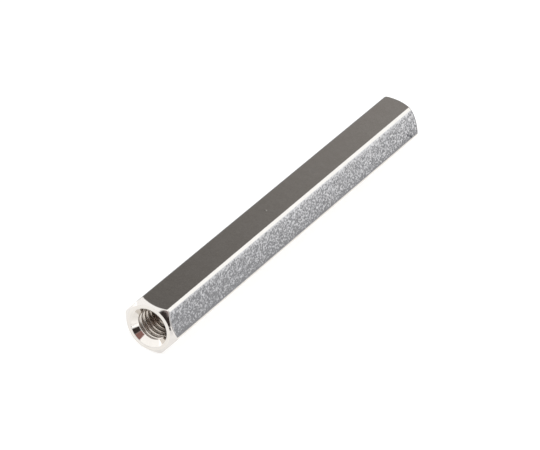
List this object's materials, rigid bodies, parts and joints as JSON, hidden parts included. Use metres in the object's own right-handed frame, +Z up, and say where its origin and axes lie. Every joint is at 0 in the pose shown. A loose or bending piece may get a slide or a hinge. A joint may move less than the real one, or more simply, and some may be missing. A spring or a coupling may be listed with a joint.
{
  "type": "hex standoff",
  "caption": "Long bright nickel-plated hexagonal standoff with a tapped, countersunk blind hole in each end; spaces a circuit board or panel off its chassis.",
  "frame": {"origin": "middle of the flat that it rests on", "axes": "+X along the bar's axis, +Z up, out of the flat opposite the one that it rests on"},
  "size_m": [0.04, 0.005, 0.0045],
  "materials": {
    "nickel_plate": "bright nickel plate over drawn bar, turned ends"
  },
  "bodies": {
    "root": {"hex_standoff": "nickel_plate"}
  },
  "joints": []
}
